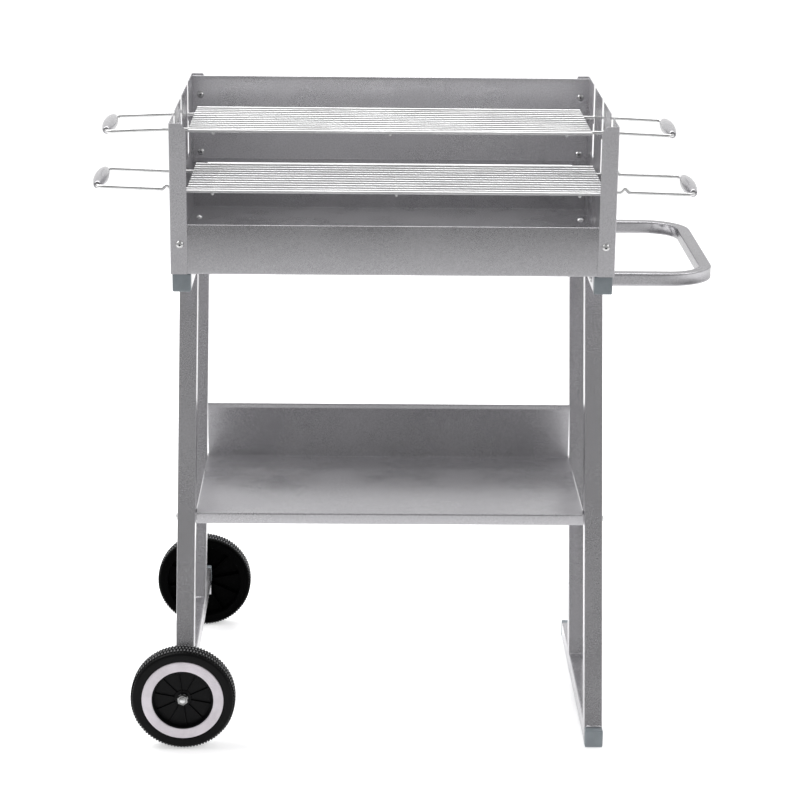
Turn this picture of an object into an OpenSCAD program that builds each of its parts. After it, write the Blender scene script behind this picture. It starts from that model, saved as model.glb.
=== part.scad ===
// Charcoal trolley grill: an open sheet-steel fire box with two lift-out wire grates, on a slanted
// square-tube frame with a shelf, a push handle and one pair of wheels.
// Millimetres. X runs across the grill, Y from front to back, Z up. The origin is on the floor,
// under the middle of the whole grill.

/* [Fire box] */
// Height of the side panels' top edge above the floor
grill_h = 858; // [840:1:900]
// Width over the side panels
box_w = 600; // [590:1:620]
// Depth from the front posts to the back flanges
box_d = 450; // [445:1:460]
// Height of the side panels
panel_h = 205; // [200:1:215]
// Height of the fire tray's front and back walls
tray_h = 68; // [60:1:72]
// Thickness of the painted sheet
sheet = 1.2; // [1:0.1:1.4]
// Width of the flanges folded in at the panels' front and back
flange_w = 23; // [20:1:25]

/* [Grates] */
// Height of the lower grate's handle wires
lower_z = 752.5; // [748:0.5:756]
// Height of the upper grate's handle wires
upper_z = 810; // [808:0.5:816]
// Distance between the slots, which is also the spacing of a grate's handle arms
slot_pitch = 130; // [126:1:134]
// Length of the grate bars
bar_len = 572; // [560:1:574]
// Number of bars in a grate
bar_count = 13; // [9:1:14]
// Distance from the middle of a grate to the outer side of its grip, lower and upper
lower_reach = 421; // [405:1:425]
upper_reach = 415; // [405:1:425]

/* [Frame] */
// Side of the square frame tube
tube = 25; // [24:1:26]
// Wall of the frame tubes
tube_wall = 1.5; // [1.2:0.1:2]
// Slant of the legs from upright
leg_slant = 19; // [17:0.5:20]
// Distance between a front and a rear leg
leg_pitch = 266; // [262:1:268]
// Length of the foot bar and of the axle bar, caps included
floor_bar_len = 423; // [415:1:424]

/* [Shelf] */
// Height of the shelf's top face above the floor
shelf_z = 304; // [290:1:330]
// Height of the shelf's back upstand
upstand_h = 84; // [60:1:90]

/* [Push handle] */
// Side of the push handle's square tube
grip_tube = 18; // [16:1:20]
// Distance from the grill's middle to the outer side of the push handle
push_reach = 445; // [430:1:460]
// Bend radius of the push handle at the tube's middle
push_bend_r = 56; // [50:1:60]

/* [Wheels] */
// Wheel diameter
wheel_d = 145; // [143:1:145]
// Wheel width
wheel_w = 30; // [28:1:31]
// Number of ribs in a wheel's dish
rib_count = 10; // [6:1:12]
// Axle diameter
axle_d = 8; // [6:1:8]

/* [Hidden] */

$fn = 64;
eps = 0.01;

// Levels
box_z = grill_h - panel_h;
top_bar_z = box_z - tube;
rim_z = box_z + tray_h;

// Side panels
corner_w = 6;
corner_h = 9;
slot_w = 32;
seat_r = 3;
seat_shift = 8;
finger_len = 14;
finger_h = 9;
skewer_notch_w = 9;
skewer_notch_h = 8;
slots_y = [for (i = [-1 : 1]) box_d / 2 + i * slot_pitch];
skewer_notches_y = [for (i = [-1, 1]) box_d / 2 + i * slot_pitch / 2];

// Tray and back panel
hem = 7;
panel_gap = 2;
back_top_drop = 3;

// Fasteners: clearance over the shank, and the places of the screws
hole_gap = 0.2;
screw_r = 3;
nut_small_af = 10;
bolt_r = 3;
post_screw_x = 287;
post_screw_z = grill_h - 164;
back_screw_z = [grill_h - 32, grill_h - 119];
tray_bolts_y = [80, 370];

// Side frames: the tubes' middle plane, and the legs' front faces
frame_x = box_w / 2 - 2 - tube / 2;
top_bar_y = [3, box_d - 3];
leg_top_y = 137;
leg_depth = tube / cos(leg_slant);
cap_len = 14;
cap_plug = 12;
foot_bar_y = -85;
axle_bar_y = -58;
axle_bar_z = 77.5;

// Shelf
shelf_lip = 15;
shelf_side = 15;
shelf_bolt_z = shelf_z - 8;
shelf_front_y = leg_face_y(shelf_z) + 1;
shelf_back_y = leg_face_y(shelf_z) + leg_pitch + 4;
shelf_tab_y = leg_face_y(shelf_bolt_z) + leg_pitch + leg_depth - 4;
shelf_w = 2 * (frame_x - tube / 2);

// Push handle
push_z = box_z - 3 - grip_tube / 2;
push_arms_y = [45, 387];
push_wall = 1.2;
insert_len = 20;
push_bolt_len = 16;

// Wheels and axle
wheel_r = wheel_d / 2;
axle_z = wheel_r;
axle_run = 0.05;
front_wheel_y = -95;
rear_wheel_y = 370;
side_play = 0.3;
washer_t = 1.5;
washer_r = 7;
spacer_wall = 0.8;
nut_af = 13;
nut_h = 6.5;
axle_tip = 2;
bracket_t = 3;
bracket_inset = 20;
ring_ro = wheel_r * 0.78;
ring_ri = wheel_r * 0.586;
ring_t = 1.6;
tread_edge = 4;
web_t = 6;
dish_depth = 9;
hub_r = 12;
hub_face = 8;
rib_t = 2.2;
rib_rise = 2.6;
inner_rib_rise = 8;
front_seat_y = front_wheel_y + hub_face - side_play;
rear_seat_y = rear_wheel_y + wheel_w - hub_face + side_play;

// Grates
bar_r = 1.5;
edge_bar_r = 2.2;
cross_r = 2;
cross_x = 250;
wire_r = 2.5;
wire_gap = 0.05;
bar_pitch = 198 / (bar_count - 1);
bar_rise = wire_r + bar_r + wire_gap;
cross_drop = 3.3;
lower_shift = 4.5;
upper_shift = -3;
wire_start = cross_x + cross_r + 2;
wire_bend_r = 9;
wire_bend_step = 15;
wire_sides = 12;
hump_h = 5;
hump_len = 14;
hump_inset = 106;
// How far each grip sits above its seats: the wires are bent by hand
upper_left_rise = -4;
upper_right_rise = -4;
lower_left_rise = 3;
lower_right_rise = -2.5;
hump_steps = 10;
grip_r = 10;
grip_end_r = 5;
grip_len = slot_pitch - 2 * wire_bend_r;
grip_curve_r = (pow(grip_len / 2, 2) + pow(grip_r - grip_end_r, 2)) / (2 * (grip_r - grip_end_r));

// The whole grill's box, which sets the origin
x_min = min(lower_shift - lower_reach, upper_shift - upper_reach);
y_min = front_seat_y - washer_t - nut_h - axle_tip;
back_nut_h = 4;
y_max = box_d + back_nut_h + 1;
origin_x = (x_min + push_reach) / 2;
origin_y = (y_min + y_max) / 2;

silver_paint = [0.66, 0.65, 0.67];
cap_grey = [0.45, 0.48, 0.51];
chrome = [0.85, 0.85, 0.87];
zinc = [0.75, 0.75, 0.76];
wheel_black = [0.08, 0.08, 0.09];
ring_white = [0.86, 0.84, 0.87];

// Y of a front leg's front face at a height
function leg_face_y(z) = leg_top_y - (top_bar_z - z) * tan(leg_slant);

// ---- Shared shapes ----

module placed() {
    translate([-origin_x, -origin_y, 0])
        children();
}

// Draws its children on the right, or mirrored to the left
module at_side(left) {
    mirror([left ? 1 : 0, 0, 0])
        children();
}

// A plate parallel to XZ: its outline is given in X and Z
module xz_plate(y, t) {
    translate([0, y + t, 0])
        rotate([90, 0, 0])
            linear_extrude(height = t)
                children();
}

// A plate parallel to YZ: its outline is given in Y and Z
module yz_plate(x, t) {
    translate([x, 0, 0])
        rotate([90, 0, 90])
            linear_extrude(height = t)
                children();
}

module rod_x(x0, x1, y, z, r) {
    translate([x0, y, z])
        rotate([0, 90, 0])
            cylinder(h = x1 - x0, r = r);
}

module rod_y(y0, y1, x, z, r) {
    translate([x, y0, z])
        rotate([-90, 0, 0])
            cylinder(h = y1 - y0, r = r);
}

module square_ring(side, wall) {
    difference() {
        square(side, center = true);
        square(side - 2 * wall, center = true);
    }
}

// Square tube along Y, with its lower face at z
module tube_y(y0, y1, x, z) {
    translate([x, y1, z + tube / 2])
        rotate([90, 0, 0])
            linear_extrude(height = y1 - y0)
                square_ring(tube, tube_wall);
}

// End cap of a bar along Y: a head as wide as the tube and a plug inside it
module bar_cap(y, x, z, at_front) {
    inner = tube - 2 * tube_wall;
    translate([x, y, z + tube / 2])
        rotate([at_front ? -90 : 90, 0, 0]) {
            translate([-tube / 2, -tube / 2, 0])
                cube([tube, tube, cap_len]);
            translate([-inner / 2, -inner / 2, cap_len - eps])
                cube([inner, inner, cap_plug]);
        }
}

// Screw along +Z: its domed head lies below z = 0, its shank above
module dome_screw(r, length) {
    head_r = 1.8 * r;
    head_h = 1.1 * r;
    dome_r = (head_r * head_r + head_h * head_h) / (2 * head_h);
    rotate_extrude()
        intersection() {
            translate([0, dome_r - head_h])
                circle(r = dome_r);
            translate([0, -head_h])
                square([head_r, head_h]);
        }
    cylinder(h = length, r = r);
}

module hex_nut(af, h, r) {
    difference() {
        cylinder(h = h, d = af / cos(30), $fn = 6);
        translate([0, 0, -1])
            cylinder(h = h + 2, r = r);
    }
}

// ---- Fire box ----

module flange_outline() {
    x_out = box_w / 2;
    x_in = x_out - flange_w;
    polygon([
        [x_in, box_z],
        [x_out, box_z],
        [x_out, grill_h],
        [x_in + corner_w, grill_h],
        [x_in, grill_h - corner_h]
    ]);
}

// A slot open at the top, with a seat at its foot and one on a finger half way up
module slot_outline(y) {
    difference() {
        union() {
            translate([y - slot_w / 2, lower_z])
                square([slot_w, grill_h - lower_z + 1]);
            translate([y - seat_shift, lower_z])
                circle(r = seat_r);
        }
        difference() {
            translate([y + slot_w / 2 - finger_len, upper_z - finger_h])
                square([finger_len + 1, finger_h]);
            translate([y + seat_shift, upper_z])
                circle(r = seat_r);
        }
    }
}

module skewer_notch_outline(y) {
    polygon([
        [y - skewer_notch_w / 2, grill_h + eps],
        [y, grill_h - skewer_notch_h],
        [y + skewer_notch_w / 2, grill_h + eps]
    ]);
}

module side_panel() {
    difference() {
        union() {
            yz_plate(box_w / 2 - sheet, sheet)
                difference() {
                    translate([0, box_z])
                        square([box_d, panel_h]);
                    for (y = slots_y)
                        slot_outline(y);
                    for (y = skewer_notches_y)
                        skewer_notch_outline(y);
                }
            xz_plate(0, sheet)
                flange_outline();
            xz_plate(box_d - sheet, sheet)
                flange_outline();
        }
        rod_y(-1, sheet + 1, post_screw_x, post_screw_z, screw_r + hole_gap);
        for (z = back_screw_z)
            rod_y(box_d - sheet - 1, box_d + 1, post_screw_x, z, screw_r + hole_gap);
    }
}

module left_side_panel() {
    color(silver_paint)
        at_side(true)
            side_panel();
}

module right_side_panel() {
    color(silver_paint)
        at_side(false)
            side_panel();
}

// One bent sheet: floor, front wall and back wall, each wall with a hem folded inward
module fire_tray() {
    half = box_w / 2 - sheet;
    y0 = sheet;
    y1 = box_d - sheet;
    color(silver_paint)
        difference() {
            yz_plate(-half, 2 * half)
                union() {
                    translate([y0, box_z])
                        square([y1 - y0, sheet]);
                    for (y = [y0, y1 - sheet])
                        translate([y, box_z])
                            square([sheet, tray_h]);
                    for (y = [y0 + sheet - eps, y1 - 2 * sheet])
                        translate([y, rim_z - hem])
                            square([sheet + eps, hem]);
                }
            for (x = [-post_screw_x, post_screw_x])
                rod_y(0, 2 * sheet + 1, x, post_screw_z, screw_r + hole_gap);
            for (x = [-frame_x, frame_x], y = tray_bolts_y)
                translate([x, y, box_z - 1])
                    cylinder(h = sheet + 2, r = bolt_r + hole_gap);
        }
}

module back_panel() {
    half = box_w / 2 - sheet;
    y = box_d - 2 * sheet;
    z0 = rim_z + panel_gap;
    z1 = grill_h - back_top_drop;
    color(silver_paint)
        difference() {
            yz_plate(-half, 2 * half)
                union() {
                    translate([y, z0])
                        square([sheet, z1 - z0]);
                    for (z = [z0, z1 - hem])
                        translate([y - sheet, z])
                            square([sheet + eps, hem]);
                }
            for (x = [-post_screw_x, post_screw_x], z = back_screw_z)
                rod_y(y - 1, y + sheet + 1, x, z, screw_r + hole_gap);
        }
}

module post_screws() {
    color(zinc)
        for (x = [-post_screw_x, post_screw_x])
            translate([x, 0, post_screw_z])
                rotate([-90, 0, 0])
                    dome_screw(screw_r, 8);
}

module post_nuts() {
    color(zinc)
        for (x = [-post_screw_x, post_screw_x])
            translate([x, 2 * sheet, post_screw_z])
                rotate([-90, 0, 0])
                    hex_nut(nut_small_af, back_nut_h, screw_r);
}

module back_panel_screws() {
    color(zinc)
        for (x = [-post_screw_x, post_screw_x], z = back_screw_z)
            translate([x, box_d - 2 * sheet, z])
                rotate([-90, 0, 0])
                    dome_screw(screw_r, 2 * sheet + back_nut_h + 1);
}

module back_panel_nuts() {
    color(zinc)
        for (x = [-post_screw_x, post_screw_x], z = back_screw_z)
            translate([x, box_d, z])
                rotate([-90, 0, 0])
                    hex_nut(nut_small_af, back_nut_h, screw_r);
}

// Bolts through the tray's floor and the top bars
module tray_bolts() {
    color(zinc)
        for (x = [-frame_x, frame_x], y = tray_bolts_y)
            translate([x, y, box_z + sheet])
                rotate([180, 0, 0])
                    dome_screw(bolt_r, sheet + tube + 7);
}

module tray_nuts() {
    color(zinc)
        for (x = [-frame_x, frame_x], y = tray_bolts_y)
            translate([x, y, top_bar_z - 5])
                hex_nut(10, 5, bolt_r);
}

// ---- Frame ----

module top_bar() {
    difference() {
        tube_y(top_bar_y[0] + cap_len, top_bar_y[1] - cap_len, frame_x, top_bar_z);
        for (y = tray_bolts_y)
            translate([frame_x, y, top_bar_z - 1])
                cylinder(h = tube + 2, r = bolt_r + hole_gap);
    }
}

module left_top_bar() {
    color(silver_paint)
        at_side(true)
            top_bar();
}

module right_top_bar() {
    color(silver_paint)
        difference() {
            top_bar();
            for (y = push_arms_y)
                rod_x(frame_x - tube, frame_x + tube, y, push_z, bolt_r + hole_gap);
        }
}

// A leg slants forward from a top bar down to z_foot, with both ends cut level
module leg(z_foot, rear) {
    wall = tube_wall / cos(leg_slant);
    shift = rear ? leg_pitch : 0;
    y_top = leg_top_y + shift;
    y_foot = leg_face_y(z_foot) + shift;
    difference() {
        yz_plate(frame_x - tube / 2, tube)
            polygon([
                [y_foot, z_foot],
                [y_foot + leg_depth, z_foot],
                [y_top + leg_depth, top_bar_z],
                [y_top, top_bar_z]
            ]);
        yz_plate(frame_x - tube / 2 + tube_wall, tube - 2 * tube_wall)
            polygon([
                [y_foot + wall - tan(leg_slant), z_foot - 1],
                [y_foot + leg_depth - wall - tan(leg_slant), z_foot - 1],
                [y_top + leg_depth - wall + tan(leg_slant), top_bar_z + 1],
                [y_top + wall + tan(leg_slant), top_bar_z + 1]
            ]);
        rod_x(frame_x - tube, frame_x + tube, leg_bolt_y(rear), shelf_bolt_z, bolt_r + hole_gap);
    }
}

function leg_bolt_y(rear) = leg_face_y(shelf_bolt_z) + leg_depth / 2 + (rear ? leg_pitch : 0);

module front_left_leg() {
    color(silver_paint)
        at_side(true)
            leg(axle_bar_z + tube, false);
}

module rear_left_leg() {
    color(silver_paint)
        at_side(true)
            leg(axle_bar_z + tube, true);
}

module front_right_leg() {
    color(silver_paint)
        leg(tube, false);
}

module rear_right_leg() {
    color(silver_paint)
        leg(tube, true);
}

module foot_bar() {
    color(silver_paint)
        tube_y(foot_bar_y + cap_len, foot_bar_y + floor_bar_len - cap_len, frame_x, 0);
}

module axle_bar() {
    color(silver_paint)
        tube_y(axle_bar_y + cap_len, axle_bar_y + floor_bar_len - cap_len, -frame_x, axle_bar_z);
}

module top_bar_caps() {
    color(cap_grey)
        for (x = [-frame_x, frame_x]) {
            bar_cap(top_bar_y[0], x, top_bar_z, true);
            bar_cap(top_bar_y[1], x, top_bar_z, false);
        }
}

module foot_bar_caps() {
    color(cap_grey) {
        bar_cap(foot_bar_y, frame_x, 0, true);
        bar_cap(foot_bar_y + floor_bar_len, frame_x, 0, false);
    }
}

module axle_bar_caps() {
    color(cap_grey) {
        bar_cap(axle_bar_y, -frame_x, axle_bar_z, true);
        bar_cap(axle_bar_y + floor_bar_len, -frame_x, axle_bar_z, false);
    }
}

// ---- Shelf ----

// One bent sheet: floor, front lip, side flanges that bolt to the legs, and a back upstand
module shelf() {
    half = shelf_w / 2;
    color(silver_paint)
        difference() {
            union() {
                translate([-half, shelf_front_y, shelf_z - sheet])
                    cube([shelf_w, shelf_back_y - shelf_front_y, sheet]);
                translate([-half, shelf_front_y, shelf_z - shelf_lip])
                    cube([shelf_w, sheet, shelf_lip]);
                translate([-half + 1, shelf_back_y - sheet, shelf_z - sheet])
                    cube([shelf_w - 2, sheet, upstand_h + sheet]);
                translate([-half + 1, shelf_back_y - 2 * sheet, shelf_z + upstand_h - hem])
                    cube([shelf_w - 2, sheet + eps, hem]);
                for (x = [-half, half - sheet])
                    translate([x, shelf_front_y, shelf_z - shelf_side])
                        cube([sheet, shelf_tab_y - shelf_front_y, shelf_side]);
            }
            for (rear = [false, true])
                rod_x(-half - 1, half + 1, leg_bolt_y(rear), shelf_bolt_z, bolt_r + hole_gap);
        }
}

module shelf_bolts() {
    color(zinc)
        for (left = [false, true], rear = [false, true])
            at_side(left)
                translate([frame_x + tube / 2, leg_bolt_y(rear), shelf_bolt_z])
                    rotate([0, -90, 0])
                        dome_screw(bolt_r, tube + sheet + 7);
}

module shelf_nuts() {
    color(zinc)
        for (left = [false, true], rear = [false, true])
            at_side(left)
                translate([frame_x - tube / 2 - sheet, leg_bolt_y(rear), shelf_bolt_z])
                    rotate([0, -90, 0])
                        hex_nut(10, 5, bolt_r);
}

// ---- Push handle ----

// A quarter bend of square tube about the origin, from +X towards +Y
module push_bend() {
    rotate_extrude(angle = 90)
        translate([push_bend_r, 0])
            square_ring(grip_tube, push_wall);
}

module push_handle() {
    x0 = frame_x + tube / 2;
    x_bend = push_reach - grip_tube / 2 - push_bend_r;
    y_front = push_arms_y[0] + push_bend_r;
    y_back = push_arms_y[1] - push_bend_r;
    color(silver_paint)
        union() {
            for (y = push_arms_y)
                translate([x0, y, push_z])
                    rotate([90, 0, 90])
                        linear_extrude(height = x_bend - x0)
                            square_ring(grip_tube, push_wall);
            translate([x_bend, y_back, push_z])
                push_bend();
            translate([x_bend, y_front, push_z])
                rotate([0, 0, -90])
                    push_bend();
            translate([x_bend + push_bend_r, y_back, push_z])
                rotate([90, 0, 0])
                    linear_extrude(height = y_back - y_front)
                        square_ring(grip_tube, push_wall);
        }
}

// Threaded inserts inside the push handle's arms
module push_handle_inserts() {
    side = grip_tube - 2 * push_wall;
    x0 = frame_x + tube / 2;
    color(zinc)
        for (y = push_arms_y)
            difference() {
                translate([x0, y - side / 2, push_z - side / 2])
                    cube([insert_len, side, side]);
                rod_x(x0 - 1, x0 + insert_len + 1, y, push_z, bolt_r);
            }
}

module push_handle_bolts() {
    color(zinc)
        for (y = push_arms_y)
            translate([frame_x - tube / 2, y, push_z])
                rotate([0, 90, 0])
                    dome_screw(bolt_r, tube + push_bolt_len);
}

// ---- Axle and wheels ----

module axle_brackets() {
    y_front = axle_bar_y + bracket_inset;
    y_rear = axle_bar_y + floor_bar_len - bracket_inset - bracket_t;
    color(silver_paint)
        difference() {
            for (y = [y_front, y_rear])
                translate([-frame_x - tube / 2, y, axle_z - 10])
                    cube([tube, bracket_t, axle_bar_z - axle_z + 10]);
            rod_y(y_front - 1, y_rear + bracket_t + 1, -frame_x, axle_z, axle_d / 2);
        }
}

module axle() {
    y_rear = rear_seat_y + washer_t + nut_h + axle_tip;
    color(zinc)
        rod_y(y_min, y_rear, -frame_x, axle_z, axle_d / 2);
}

module ring_y(y0, y1, r_out, r_in) {
    difference() {
        rod_y(y0, y1, -frame_x, axle_z, r_out);
        rod_y(y0 - 1, y1 + 1, -frame_x, axle_z, r_in);
    }
}

module axle_spacers() {
    y_front = axle_bar_y + bracket_inset;
    y_rear = axle_bar_y + floor_bar_len - bracket_inset;
    r_out = axle_d / 2 + spacer_wall;
    color(zinc) {
        ring_y(front_wheel_y + wheel_w + side_play, y_front, r_out, axle_d / 2);
        ring_y(y_rear, rear_wheel_y - side_play, r_out, axle_d / 2);
    }
}

module axle_washers() {
    color(zinc) {
        ring_y(front_seat_y - washer_t, front_seat_y, washer_r, axle_d / 2);
        ring_y(rear_seat_y, rear_seat_y + washer_t, washer_r, axle_d / 2);
    }
}

module axle_nuts() {
    color(zinc) {
        translate([-frame_x, front_seat_y - washer_t - nut_h, axle_z])
            rotate([-90, 0, 0])
                hex_nut(nut_af, nut_h, axle_d / 2);
        translate([-frame_x, rear_seat_y + washer_t, axle_z])
            rotate([-90, 0, 0])
                hex_nut(nut_af, nut_h, axle_d / 2);
    }
}

// A wheel about +Z with its outer face at z = 0 and its inner face at z = wheel_w
module wheel() {
    difference() {
        union() {
            rotate_extrude($fn = 96)
                polygon([
                    [0, hub_face],
                    [hub_r, hub_face],
                    [hub_r, dish_depth],
                    [ring_ri, dish_depth],
                    [ring_ri, ring_t],
                    [ring_ro, ring_t],
                    [ring_ro, 0],
                    [wheel_r - tread_edge, 0],
                    [wheel_r, tread_edge],
                    [wheel_r, wheel_w - tread_edge],
                    [wheel_r - tread_edge, wheel_w],
                    [ring_ro, wheel_w],
                    [ring_ro, dish_depth + web_t],
                    [hub_r, dish_depth + web_t],
                    [hub_r, wheel_w],
                    [0, wheel_w]
                ]);
            for (i = [0 : rib_count - 1])
                rotate([0, 0, i * 360 / rib_count]) {
                    translate([hub_r - 1, -rib_t / 2, dish_depth - rib_rise])
                        cube([ring_ri - hub_r + 2, rib_t, rib_rise + 1]);
                    translate([hub_r - 1, -rib_t / 2, dish_depth + web_t - 1])
                        cube([ring_ro - hub_r + 2, rib_t, inner_rib_rise + 1]);
                }
        }
        translate([0, 0, -1])
            cylinder(h = wheel_w + 2, r = axle_d / 2 + axle_run);
    }
}

module wheel_ring() {
    difference() {
        cylinder(h = ring_t, r = ring_ro, $fn = 96);
        translate([0, 0, -1])
            cylinder(h = ring_t + 2, r = ring_ri, $fn = 96);
    }
}

module at_front_wheel() {
    translate([-frame_x, front_wheel_y, axle_z])
        rotate([-90, 0, 0])
            children();
}

module at_rear_wheel() {
    translate([-frame_x, rear_wheel_y + wheel_w, axle_z])
        rotate([90, 0, 0])
            children();
}

module front_wheel() {
    color(wheel_black)
        at_front_wheel()
            wheel();
}

module front_wheel_ring() {
    color(ring_white)
        at_front_wheel()
            wheel_ring();
}

module rear_wheel() {
    color(wheel_black)
        at_rear_wheel()
            wheel();
}

module rear_wheel_ring() {
    color(ring_white)
        at_rear_wheel()
            wheel_ring();
}

// ---- Grates ----
// A grate is drawn about the middle of its handle wires, with the wires at z = 0

module grate_grid() {
    reach = bar_pitch * (bar_count - 1) / 2;
    color(chrome) {
        for (i = [0 : bar_count - 1]) {
            edge = i == 0 || i == bar_count - 1;
            rod_x(-bar_len / 2, bar_len / 2, i * bar_pitch - reach, bar_rise, edge ? edge_bar_r : bar_r);
        }
        for (x = [-cross_x, 0, cross_x])
            rod_y(-reach - 1, reach + 1, x, bar_rise - cross_drop, cross_r);
    }
}

// Middle line of the right handle's front half: an arm with a stop hump, then the bend to the grip
function half_wire(reach, rise) = let(
    y = -slot_pitch / 2,
    x_grip = reach - grip_r,
    x_bend = x_grip - wire_bend_r,
    hump_x = reach - hump_inset,
    x_hump = hump_x + hump_len / 2
) concat(
    [[wire_start, y, 0]],
    [for (i = [0 : hump_steps])
        [hump_x + hump_len * (i / hump_steps - 0.5), y, hump_h * (1 - cos(360 * i / hump_steps)) / 2]],
    [for (a = [0 : wire_bend_step : 90])
        let(x = x_bend + wire_bend_r * sin(a))
            [x, y + wire_bend_r * (1 - cos(a)), rise * (x - x_hump) / (x_grip - x_hump)]]
);

function wire_path(reach, rise) = let(half = half_wire(reach, rise), n = len(half)) concat(
    half,
    [for (i = [n - 1 : -1 : 0]) [half[i][0], -half[i][1], half[i][2]]]
);

function unit(v) = v / norm(v);

// Direction of a path at a point: between the runs before and after it
function heading(path, i) = unit(
    (i == 0 ? [0, 0, 0] : unit(path[i] - path[i - 1]))
    + (i == len(path) - 1 ? [0, 0, 0] : unit(path[i + 1] - path[i]))
);

// Points of a wire's outline around one path point
function wire_ring(path, i) = let(
    ahead = heading(path, i),
    side = unit(cross([0, 0, 1], ahead)),
    up = cross(ahead, side)
) [for (j = [0 : wire_sides - 1])
    path[i] + wire_r * (cos(360 * j / wire_sides) * side + sin(360 * j / wire_sides) * up)];

// Round wire swept along a path
module bent_wire(path) {
    last = len(path) - 1;
    polyhedron(
        points = [for (i = [0 : last]) each wire_ring(path, i)],
        faces = concat(
            [[for (j = [0 : wire_sides - 1]) j]],
            [for (i = [0 : last - 1], j = [0 : wire_sides - 1]) let(k = (j + 1) % wire_sides)
                [i * wire_sides + k, i * wire_sides + j, (i + 1) * wire_sides + j, (i + 1) * wire_sides + k]],
            [[for (j = [wire_sides - 1 : -1 : 0]) last * wire_sides + j]]
        )
    );
}

// A U-shaped handle wire on the right, with its arms on the slot spacing
module handle_wire(reach, rise) {
    color(chrome)
        bent_wire(wire_path(reach, rise));
}

// A spindle-shaped grip around the handle wire's far side
module grip(reach, rise) {
    color(chrome)
        translate([reach - grip_r, 0, rise])
            rotate([90, 0, 0])
                rotate_extrude()
                    intersection() {
                        translate([grip_r - grip_curve_r, 0])
                            circle(r = grip_curve_r, $fn = 360);
                        translate([wire_r, -grip_len / 2])
                            square([grip_r, grip_len]);
                    }
}

module at_lower() {
    translate([lower_shift, box_d / 2 - seat_shift - slot_pitch / 2, lower_z])
        children();
}

module at_upper() {
    translate([upper_shift, box_d / 2 + seat_shift + slot_pitch / 2, upper_z])
        children();
}

module lower_grate() {
    at_lower()
        grate_grid();
}

module lower_left_handle() {
    at_lower()
        at_side(true)
            handle_wire(lower_reach, lower_left_rise);
}

module lower_right_handle() {
    at_lower()
        at_side(false)
            handle_wire(lower_reach, lower_right_rise);
}

module lower_left_grip() {
    at_lower()
        at_side(true)
            grip(lower_reach, lower_left_rise);
}

module lower_right_grip() {
    at_lower()
        at_side(false)
            grip(lower_reach, lower_right_rise);
}

module upper_grate() {
    at_upper()
        grate_grid();
}

module upper_left_handle() {
    at_upper()
        at_side(true)
            handle_wire(upper_reach, upper_left_rise);
}

module upper_right_handle() {
    at_upper()
        at_side(false)
            handle_wire(upper_reach, upper_right_rise);
}

module upper_left_grip() {
    at_upper()
        at_side(true)
            grip(upper_reach, upper_left_rise);
}

module upper_right_grip() {
    at_upper()
        at_side(false)
            grip(upper_reach, upper_right_rise);
}

placed() {
    left_side_panel();
    right_side_panel();
    fire_tray();
    back_panel();
    post_screws();
    post_nuts();
    back_panel_screws();
    back_panel_nuts();
    tray_bolts();
    tray_nuts();
    left_top_bar();
    right_top_bar();
    front_left_leg();
    rear_left_leg();
    front_right_leg();
    rear_right_leg();
    foot_bar();
    axle_bar();
    top_bar_caps();
    foot_bar_caps();
    axle_bar_caps();
    shelf();
    shelf_bolts();
    shelf_nuts();
    push_handle();
    push_handle_inserts();
    push_handle_bolts();
    axle_brackets();
    axle();
    axle_spacers();
    axle_washers();
    axle_nuts();
    front_wheel();
    front_wheel_ring();
    rear_wheel();
    rear_wheel_ring();
    lower_grate();
    lower_left_handle();
    lower_right_handle();
    lower_left_grip();
    lower_right_grip();
    upper_grate();
    upper_left_handle();
    upper_right_handle();
    upper_left_grip();
    upper_right_grip();
}
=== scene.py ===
import math
import random

import bmesh
import bpy
from mathutils import Matrix, Vector

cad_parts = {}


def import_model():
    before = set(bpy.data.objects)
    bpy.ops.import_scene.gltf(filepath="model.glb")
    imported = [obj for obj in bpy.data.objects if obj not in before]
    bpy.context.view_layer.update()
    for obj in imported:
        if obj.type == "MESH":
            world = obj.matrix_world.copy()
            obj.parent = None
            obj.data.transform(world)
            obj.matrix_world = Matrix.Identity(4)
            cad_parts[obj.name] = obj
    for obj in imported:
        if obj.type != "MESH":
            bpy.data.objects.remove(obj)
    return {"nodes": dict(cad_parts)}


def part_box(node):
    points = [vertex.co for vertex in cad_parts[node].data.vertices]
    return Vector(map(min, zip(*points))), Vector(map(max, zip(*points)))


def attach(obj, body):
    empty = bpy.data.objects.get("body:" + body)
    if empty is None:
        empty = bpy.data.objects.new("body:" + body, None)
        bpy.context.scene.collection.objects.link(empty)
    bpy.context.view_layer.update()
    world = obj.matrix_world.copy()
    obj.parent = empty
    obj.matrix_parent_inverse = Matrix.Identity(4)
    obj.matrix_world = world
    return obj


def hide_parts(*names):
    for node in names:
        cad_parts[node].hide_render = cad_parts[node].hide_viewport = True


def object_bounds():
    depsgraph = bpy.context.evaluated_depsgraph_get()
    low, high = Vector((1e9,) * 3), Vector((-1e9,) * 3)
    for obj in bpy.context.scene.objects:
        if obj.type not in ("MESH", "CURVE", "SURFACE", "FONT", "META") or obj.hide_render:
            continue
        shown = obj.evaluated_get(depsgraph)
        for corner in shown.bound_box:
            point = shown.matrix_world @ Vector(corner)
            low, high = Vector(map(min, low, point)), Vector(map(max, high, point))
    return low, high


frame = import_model()
cad_lo, cad_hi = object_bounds()

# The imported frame's own places. Lengths below are in millimetres in the fire box's frame:
# X from the middle of the fire box, Y from its front, Z from the floor.
MM = 0.001
box_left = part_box("left_side_panel")[0].x
box_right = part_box("right_side_panel")[1].x
BOX_ORIGIN = Vector(((box_left + box_right) / 2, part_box("right_side_panel")[0].y, 0.0))


def place(x, y, z):
    """A point in the fire box's frame, in millimetres, as a point in the row frame."""
    return BOX_ORIGIN + Vector((x, y, z)) * MM


def span(node):
    """A node's box in the fire box's frame, in millimetres."""
    lo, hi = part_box(node)
    return (lo - BOX_ORIGIN) / MM, (hi - BOX_ORIGIN) / MM


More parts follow.
